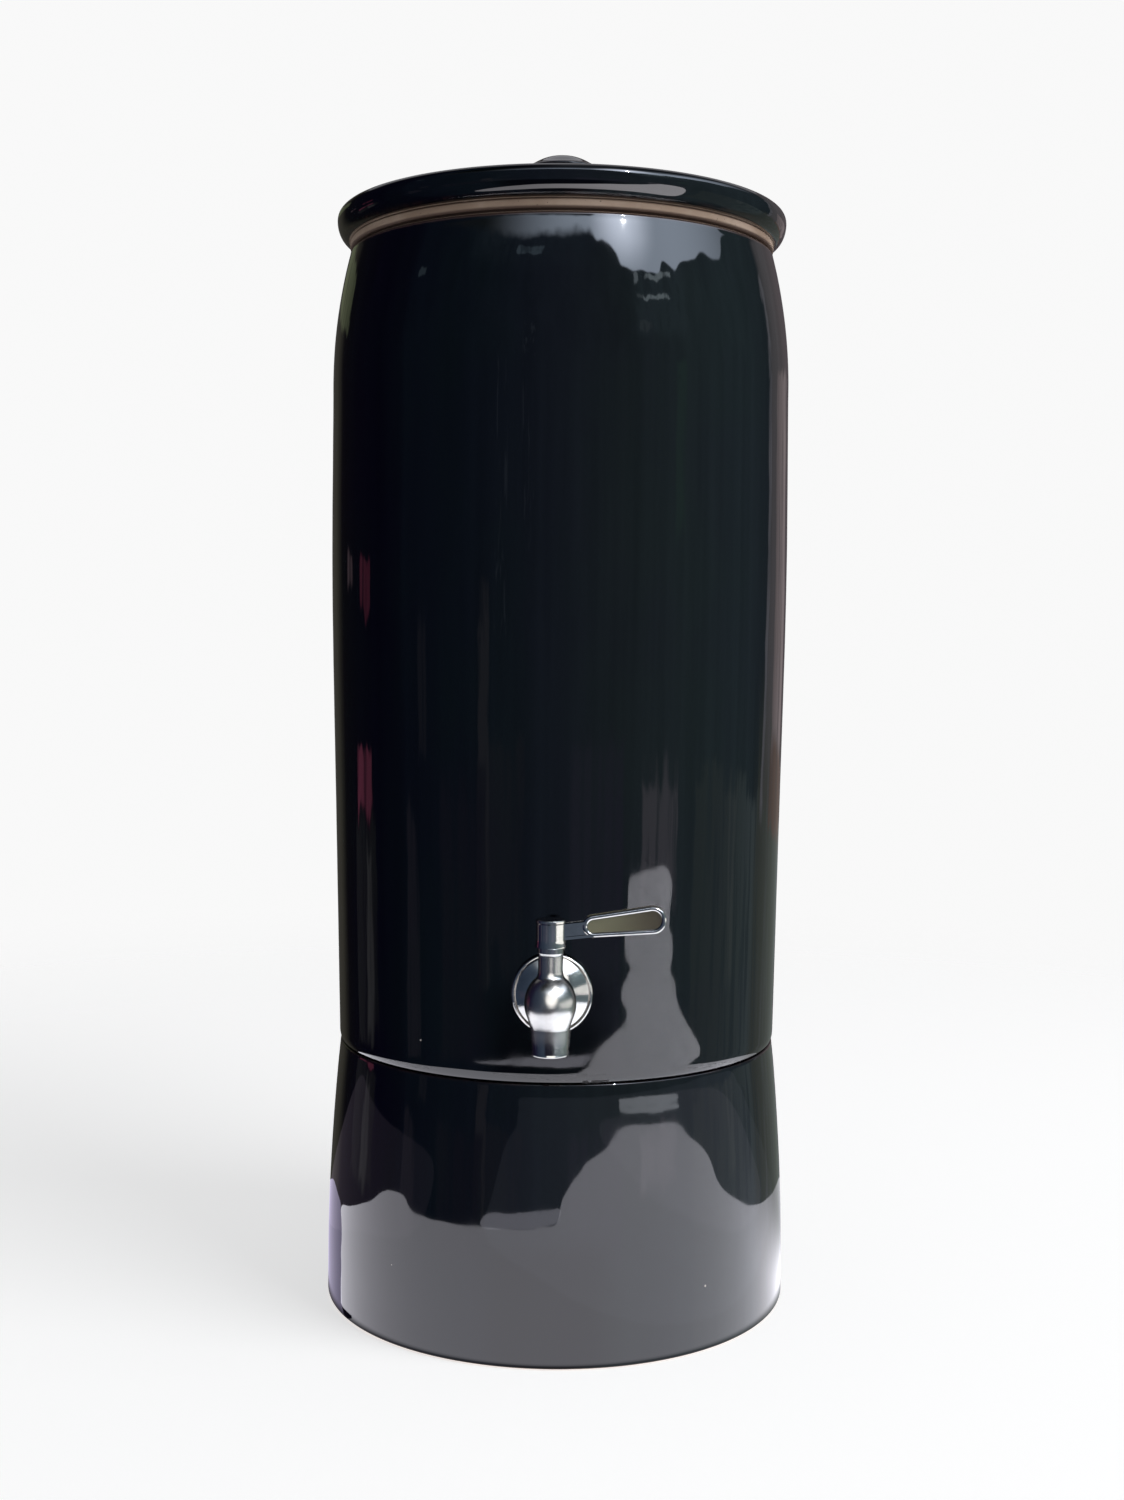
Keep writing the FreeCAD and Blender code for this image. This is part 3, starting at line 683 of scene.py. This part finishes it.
TABLE_PARTS = {
    "sun_for_stand": (("thrown_stand",), (2.50, 2.47, 2.70), 0.13, SUN_EDGE),
    "sun_for_tap": (TAP_FACES, (2.10, 2.20, 2.50), 0.13, TAP_SUN_EDGE),
    "ground_for_lid": (("thrown_lid",), (3.30, 3.15, 3.30), 0.55, (
        (-45, 0.36), (-48, 0.48), (-31, 0.58), (-11, 0.70), (10, 0.76), (22, 0.90), (31, 1.06), (40, 1.47),
        (46, 2.20), (50, 3.00), (57, 3.10), (61, 2.60), (63, 1.60), (64, 1.00), (66, 0.60), (66, 0.42),
        (40, 0.38), (0, 0.36))),
    "dim_step": (("thrown_stand",), (1.9, 1.88, 2.15), 0.13, (
        (-29, 0.318), (-28, 0.352), (-23, 0.366), (-12, 0.376), (-1, 0.388), (3, 0.392), (3.3, 0.37),
        (1.8, 0.347), (-5, 0.334), (-18, 0.3225))),
    "far_band": (("thrown_stand",), (2.2, 2.3, 2.5), 0.13, (
        (32, 1.27), (33, 1.13), (41, 1.05), (50, 0.98), (60, 0.94), (62.5, 0.96), (60, 1.03), (51, 1.11),
        (42, 1.20))),
    "shade_right": (("thrown_stand",), (0.11, 0.12, 0.15), 0.13, (
        (-27, 0.30), (-26, 0.42), (-22, 0.70), (-17, 1.02), (-12, 1.55), (30, 1.60), (70, 1.55), (95, 1.2),
        (110, 0.50), (120, 0.26), (90, 0.15), (0, 0.20))),
    "shade_far_right": (("thrown_stand",), (0.14, 0.13, 0.16), 0.13, (
        (30, 0.60), (22, 0.85), (26, 1.05), (60, 1.10), (84, 0.95), (98, 0.60), (108, 0.30), (90, 0.22),
        (60, 0.30))),
    "shade_left": (("thrown_stand",), (0.09, 0.075, 0.10), 0.13, (
        (-134, 0.16), (-124, 0.40), (-112, 0.72), (-96, 0.62), (-70, 0.58), (-56, 0.52), (-57, 0.28),
        (-90, 0.2))),
    "blue_strip": (("thrown_stand",), (0.68, 0.62, 0.90), 0.13, (
        (-40, 0.085), (-60, 0.095), (-71, 0.103), (-82.5, 0.117), (-89, 0.130), (-94.5, 0.144),
        (-99.5, 0.165), (-104.5, 0.186), (-108, 0.200), (-113, 0.215), (-128, 0.220), (-150, 0.16),
        (-180, 0.10), (-150, 0.04), (-100, 0.05))),
    "sun_for_vessel": (("thrown_vessel",), (2.80, 2.78, 3.00), 0.13, (
        (-150, 0.20), (-120, 0.26), (-90, 0.31), (-60, 0.36), (-40, 0.39), (-20, 0.40), (-4, 0.402),
        (4, 0.415), (9, 0.450), (16, 0.497), (21, 0.53), (27, 0.555), (32, 0.585), (35, 0.615),
        (31.5, 0.65), (34, 0.70), (36.5, 0.75), (33.5, 0.80), (34, 0.87), (35, 0.98), (37, 1.08),
        (46, 1.13), (54, 1.16), (58, 1.10), (57, 0.97), (56.5, 0.87), (58.5, 0.81), (56.5, 0.75),
        (59.5, 0.69), (60, 0.64), (65, 0.59), (71, 0.55), (74, 0.52), (70, 0.497), (67, 0.475), (76, 0.42),
        (100, 0.35), (130, 0.27), (160, 0.20), (180, 0.15), (-165, 0.15))),
    "low_sliver": (("thrown_vessel",), (2.2, 2.2, 2.5), 0.13, (
        (-38, 0.490), (-20, 0.501), (-8, 0.508), (6, 0.514), (18, 0.515), (12, 0.497), (-4, 0.491),
        (-20, 0.487))),
}


def smooth_loop(edge, height):
    """Points of a closed smooth curve through the corners of an edge."""
    corners = [Vector((math.sin(math.radians(turn)) * reach, -math.cos(math.radians(turn)) * reach, height))
               for turn, reach in edge]
    points = []
    for number, corner in enumerate(corners):
        before, after, later = (corners[(number + step) % len(corners)] for step in (-1, 1, 2))
        for t in (0.0, 0.2, 0.4, 0.6, 0.8):
            points.append(corner + 0.5 * t * ((after - before) + t * (
                2 * before - 5 * corner + 4 * after - later + t * (3 * (corner - after) + later - before))))
    return points


def shown_in(thing, names):
    """Lets a lamp or a glowing patch light only some pieces."""
    lit = bpy.data.collections.new(thing.name + "_lights")
    for name in names:
        lit.objects.link(bpy.data.objects.get(name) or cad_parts[name])
    thing.light_linking.receiver_collection = lit


def table_part(name, pieces, colour, growth, edge, height):
    """Flat patch that glows in the reflections of some pieces and is clear to all others."""
    verts = smooth_loop(edge, height)
    mesh = bpy.data.meshes.new(name)
    mesh.from_pydata(verts, [], [range(len(verts))])
    patch = bpy.data.objects.new(name, mesh)
    material, tree = new_finish(name)
    x, y = tree.parts(tree.place())[:2]
    strength = x.rise(*PART_ENDS) * growth + 1.0 - growth * PART_START
    strength = strength * (from_front(x, y).rise(*BEHIND) * (1 - BEHIND_SHARE) + BEHIND_SHARE)
    # painted contact shade where the table meets the stand
    strength = strength * (from_axis(x, y).rise(*CONTACT) * (1 - CONTACT_SHARE) + CONTACT_SHARE)
    glow = tree.node("ShaderNodeEmission", None, {"Color": (*colour, 1.0), "Strength": strength})
    clear = tree.node("ShaderNodeBsdfTransparent")
    both = tree.node("ShaderNodeAddShader", None, {0: glow, 1: clear})
    tree.node("ShaderNodeOutputMaterial", None, {"Surface": both})
    mesh.materials.append(material)
    bpy.context.scene.collection.objects.link(patch)
    patch.visible_camera = patch.visible_diffuse = patch.visible_shadow = False
    shown_in(patch, pieces)


def set_table():
    """Pale table top that fades into the backdrop, and its parts for the reflections."""
    bpy.ops.mesh.primitive_circle_add(
        vertices=96, radius=TABLE_SIZE, fill_type="NGON", location=(0, 0, TABLE_LEVEL))
    table = bpy.context.object
    table.name = "table_top"
    table.visible_glossy = False
    material, tree = new_finish("pale_table")
    radius = from_axis(*tree.parts(tree.place())[:2])
    matte = tree.node("ShaderNodeBsdfDiffuse", None, {"Color": (*TABLE_WHITE, 1.0)})
    lit = tree.node("ShaderNodeEmission", None, {"Color": (1.0, 1.0, 1.0, 1.0), "Strength": TABLE_GLOW})
    both = tree.node("ShaderNodeAddShader", None, {0: matte, 1: lit})
    clear = tree.node("ShaderNodeBsdfTransparent")
    seen = tree.node("ShaderNodeMixShader", None, {0: radius.rise(*TABLE_FADE), 1: both, 2: clear})
    tree.node("ShaderNodeOutputMaterial", None, {"Surface": seen})
    table.data.materials.append(material)
    for number, (name, (pieces, colour, growth, edge)) in enumerate(TABLE_PARTS.items(), 1):
        table_part(name, pieces, colour, growth, edge, TABLE_LEVEL - number * LEVEL_STEP)


# Dim room as the glaze shows it, for directions in degrees from the front, left to right.
ROOM = (
    (-180, (0.085, 0.078, 0.078)), (-165, (0.065, 0.062, 0.055)), (-148, (0.080, 0.075, 0.060)),
    (-138, (0.014, 0.012, 0.016)), (-100, (0.012, 0.010, 0.042)), (-85, (0.022, 0.027, 0.065)),
    (-80, (0.033, 0.050, 0.095)), (-45, (0.058, 0.088, 0.145)), (-20, (0.090, 0.125, 0.190)),
    (5, (0.140, 0.182, 0.255)), (30, (0.170, 0.225, 0.272)), (65, (0.225, 0.315, 0.365)),
    (95, (0.185, 0.270, 0.315)), (127, (0.072, 0.100, 0.122)), (131, (0.300, 0.290, 0.310)),
    (150, (0.200, 0.175, 0.185)), (165, (0.120, 0.100, 0.110)), (180, (0.085, 0.078, 0.078)))

# What stands out in the room: from and to, left to right and upwards in degrees, softness, colour, share.
ROOM_THINGS = {
    "far_wall": ((74, 166), (-40, -6.6), 0.6, (0.300, 0.385, 0.400), 0.85),
    "wall_shade": ((126, 160), (-40, -6.8), 6.0, (0.190, 0.210, 0.180), 0.9),
    "lawn_post": ((98, 102), (-12, -6.8), 0.8, (0.420, 0.500, 0.500), 0.6),
    "brick_ledge": ((139, 164), (-6.6, -4.2), 0.4, (0.300, 0.210, 0.180), 0.8),
    "right_line": ((127.5, 129.5), (-6.5, 19), 0.8, (0.480, 0.480, 0.540), 0.8),
    "pink_wall": ((140, 158), (-3.5, 8), 1.0, (0.480, 0.400, 0.410), 0.9),
    "pane": ((60, 64), (3.5, 8.5), 1.2, (0.270, 0.470, 0.420), 0.6),
    "hedge_light": ((42, 64), (16, 26), 4.0, (0.330, 0.470, 0.550), 0.55),
    "small_light": ((41, 46), (15, 16.3), 0.5, (0.500, 0.620, 0.680), 0.6),
    "haze": ((-40, 10), (36, 50), 10.0, (0.160, 0.225, 0.310), 0.6),
    "light_stroke": ((45, 60), (25.7, 26.4), 0.35, (2.0, 2.4, 2.6), 0.9),
    "light_dot": ((38.6, 39.8), (25.4, 27.0), 0.35, (1.6, 1.9, 2.1), 0.9),
    "low_stroke": ((43, 57), (21.9, 22.6), 0.35, (1.9, 2.3, 2.5), 0.9),
    "low_mark": ((40, 43), (22.2, 22.7), 0.35, (1.0, 1.2, 1.3), 0.8),
    "strip_light": ((-23, -10), (32.2, 33.6), 0.3, (0.550, 0.760, 0.950), 0.9),
    "spark_left": ((-78, -75), (25, 26), 0.4, (0.300, 0.420, 0.520), 0.8),
    "violet_wall": ((9, 32), (-15, -7), 1.5, (0.215, 0.232, 0.340), 0.9),
    "warm_glow": ((44, 62), (-10.5, -7.3), 0.8, (0.700, 0.690, 0.800), 0.9),
    "first_post": ((-38.5, -34), (-13, -0.8), 0.8, (0.210, 0.215, 0.270), 0.9),
    "wide_post": ((-60, -36), (-15, -8.0), 1.5, (0.085, 0.095, 0.155), 0.9),
    "low_wall": ((-33, -17), (-12.5, -6.8), 0.7, (0.130, 0.145, 0.205), 0.8),
    "far_post": ((-81, -74), (-15, -8), 0.8, (0.130, 0.125, 0.185), 0.8),
    "thin_post": ((-72, -68), (-5.5, -1.2), 0.7, (0.110, 0.120, 0.170), 0.8),
    "grey_door": ((-125, -104), (-13.5, -7.6), 0.7, (0.060, 0.060, 0.072), 0.9),
    "pale_post": ((-114, -109), (-13, -8.5), 0.8, (0.210, 0.210, 0.225), 0.8),
    "pink_low": ((-122, -107), (-6.8, -5.3), 0.4, (0.560, 0.130, 0.240), 0.9),
    "pink_high": ((-116, -107), (0.2, 1.6), 0.4, (0.330, 0.070, 0.140), 0.9),
    "cream_spot": ((-131, -125), (1.0, 2.2), 0.5, (0.220, 0.150, 0.180), 0.9),
    "leaf_left": ((-160, -136), (12.5, 17), 1.0, (0.220, 0.250, 0.150), 0.8),
}

# Leaves that catch light: from and to, left to right and upwards.
LEAF_SPECKS = ((-17, -12, 3, 15), (-30, -25, -1, 9))
LEAF_LIGHT = (0.300, 0.370, 0.480)

SKY = (0.730, 0.850, 1.030)             # open sky in front and behind, and the dark ground close by
BACK_SKY = (0.620, 0.620, 0.660)
NEAR_GROUND = (0.012, 0.008, 0.020)
SUN_TURN, SUN_LIFT = 36.0, 41.5         # direction of the sun in degrees, and the glow round it
SUN_HALO = (9.0, 9.6, 11.2)
HALO_SIZE = 17.0

# Lower edge of the open sky, left to right.
SKY_EDGE = (
    (-70, 34.0), (-45, 35.8), (-20, 36.2), (-8, 36.9), (15, 37.2), (20, 36.4), (26, 33.2), (33, 30.0),
    (43, 28.2), (62, 27.4), (84, 28.8), (93, 26.6), (102, 28.4), (120, 25.5), (140, 24.0))


def room_tones(tree, direction, turn, lift):
    """Colours of the room by direction: walls and trees, what stands out from them, then the sky."""
    stops = [(angle / 360 + 0.5, tone) for angle, tone in ROOM]
    warp = tree.grain(tree.scaled(direction, (1.0, 1.0, 0.6)), 9.0, 3.0) - 0.5
    bend = tree.grain(tree.scaled(direction, (1.0, 1.0, 1.6)), 13.0, 3.0) - 0.5
    tone = tree.node("ShaderNodeValToRGB", {"stops": stops}, {0: (turn + warp * 5.0) / 360 + 0.5})
    columns = tree.grain(tree.scaled(direction, (1.0, 1.0, 0.12)), 9.0, 3.0, 0.6)
    mottle = tree.grain(direction, 7.0, 4.0, 0.6)
    shade = (columns * 0.55 + 0.725) * (mottle * 0.36 + 0.82)
    tone = tree.times(tone, shade)

    ragged_turn = turn + warp * 6.0 + bend * 4.0
    ragged_lift = lift + bend * 3.0
    patches = tree.grain(tree.scaled(direction, (1.0, 1.0, 0.35)), 24.0, 3.0).rise(0.36, 0.52) * 0.6 + 0.4
    for (left, right), (low, high), soft, colour, share in ROOM_THINGS.values():
        mask = ragged_turn.within(left, right, soft * 1.4) * ragged_lift.within(low, high, soft)
        tone = tree.mix(mask * patches * share, tone, colour)
    specks = tree.grain(tree.scaled(direction, (1.0, 1.0, 0.5)), 60.0, 2.0).rise(0.56, 0.66)
    for left, right, low, high in LEAF_SPECKS:
        mask = specks * turn.within(left, right, 1.0) * lift.within(low, high, 2.0)
        tone = tree.mix(mask * 0.5, tone, LEAF_LIGHT)

    points = [(angle / 360 + 0.5, height / 90) for angle, height in SKY_EDGE]
    edge = tree.node("ShaderNodeFloatCurve", {"points": points}, {1: turn / 360 + 0.5}) * 90
    lobes = tree.grain(direction, 9.0, 0.0, 0.4) - 0.5
    lobes = lobes * turn.rise(14.0, 24.0) * (turn.rise(82.0, 62.0) * 5.0 + 2.0)
    wisps = bend * turn.rise(24.0, 14.0) * 2.4
    soft = turn.rise(24.0, 12.0) * 0.9 + 0.3
    open_sky = ((lift + wisps + lobes - edge) / soft).rise(-1.0, 1.0) * turn.within(-62.0, 116.0, 12.0)
    strength = turn.rise(-46.0, 16.0) * turn.rise(126.0, 60.0) * 5.4 + 0.12
    strength = strength * (1 - lift.rise(41.0, 44.0) * 0.75 - lift.rise(47.0, 58.0) * 0.21)
    tone = tree.mix(open_sky, tone, tree.times(SKY, strength))
    back_sky = (lift + bend * 8.0).rise(31.0, 33.0) * abs(turn).rise(118.0, 140.0)
    tone = tree.mix(back_sky, tone, BACK_SKY)
    near = lift.rise(-12.5, -15.5) * turn.within(-22.0, 16.0, 22.0)
    tone = tree.mix(near * 0.85, tone, NEAR_GROUND)

    away = (((turn - SUN_TURN) * 0.75) ** 2 + (lift - SUN_LIFT) ** 2).math("SQRT")
    halo = tree.times(SUN_HALO, away.rise(HALO_SIZE, 0.0) * open_sky)
    return tree.node("ShaderNodeVectorMath", {"operation": "ADD"}, {0: tone, 1: halo})


def set_surroundings():
    """White backdrop and soft white light; glaze and steel reflect a dim room that opens to the sky."""
    world = bpy.data.worlds.new("studio_room")
    bpy.context.scene.world = world
    tree = Tree(world)
    direction = tree.node("ShaderNodeTexCoord", out="Generated")
    x, y, z = tree.parts(direction)
    turn = from_front(x, y)
    lift = z.math("ARCSINE") * (180 / math.pi)
    glossy = tree.node("ShaderNodeLightPath", out="Is Glossy Ray")
    camera = tree.node("ShaderNodeLightPath", out="Is Camera Ray")
    soft = tree.node("ShaderNodeBackground", None, {"Color": (*SOFT_WHITE, 1.0), "Strength": SOFT_LIGHT})
    back = tree.node("ShaderNodeBackground", None, {"Color": (1.0, 1.0, 1.0, 1.0), "Strength": BACKDROP})
    tone = room_tones(tree, direction, turn, lift)
    room = tree.node("ShaderNodeBackground", None, {"Color": tone, "Strength": 1.0})
    shown = tree.node("ShaderNodeMixShader", None, {0: camera, 1: soft, 2: back})
    shown = tree.node("ShaderNodeMixShader", None, {0: glossy, 1: shown, 2: room})
    tree.node("ShaderNodeOutputWorld", None, {"Surface": shown})


MIDDLE = 0.24               # half the pot's height


def add_lamp(name, place, aim, size, brightness, mirrored=True, only=None):
    """Lamp that points from a place at another. A mirrored one shows in reflections and gives no other light;
    only names the solids that it lights."""
    data = bpy.data.lights.new(name, "AREA")
    data.shape = "ELLIPSE"
    data.size, data.size_y = size
    data.energy = brightness * math.pi * math.pi / 4 * size[0] * size[1]
    lamp = bpy.data.objects.new(name, data)
    lamp.location = place
    lamp.rotation_mode = "QUATERNION"
    lamp.rotation_quaternion = (Vector(place) - Vector(aim)).to_track_quat("Z", "Y")
    lamp.visible_camera, lamp.visible_diffuse, lamp.visible_glossy = False, not mirrored, mirrored
    bpy.context.scene.collection.objects.link(lamp)
    if only:
        shown_in(lamp, only)


def toward(azimuth, elevation, distance):
    """Place at a distance from the middle of the pot."""
    turn, lift = math.radians(azimuth), math.radians(elevation)
    flat = math.cos(lift) * distance
    return math.sin(turn) * flat, -math.cos(turn) * flat, MIDDLE + math.sin(lift) * distance


def set_lamps():
    """The spark in the glaze, soft light from the right, and panels that only the tap mirrors."""
    middle = (0, 0, MIDDLE)
    spout = -SPOUT_OUT * MM
    beside, strip = (0.55, -0.24, 0.115), (0.95, 0.16)
    add_lamp("sparkle", toward(SUN_TURN, SUN_LIFT, 2.2), middle, (0.05, 0.05), 4000.0)
    add_lamp("soft_right", toward(58.0, 30.0, 3.2), middle, (2.5, 2.5), 3.7, mirrored=False)
    add_lamp("lever_right", beside, (0, spout, 0.15), strip, 1.8, only=("lever_handle", "cap_screw"))
    add_lamp("tap_front", (0.12, -1.10, 0.56), (0, spout, 0.56), (1.0, 1.06), 2.3, only=("tap_body",))
    add_lamp("tap_right", beside, (0, spout, 0.15), strip, 1.2, only=("tap_body",))


set_camera()
replace_pottery()
dress_nodes()
set_table()
set_surroundings()
set_lamps()
bpy.context.scene.view_settings.view_transform = "Standard"     # colours come out as they are mixed
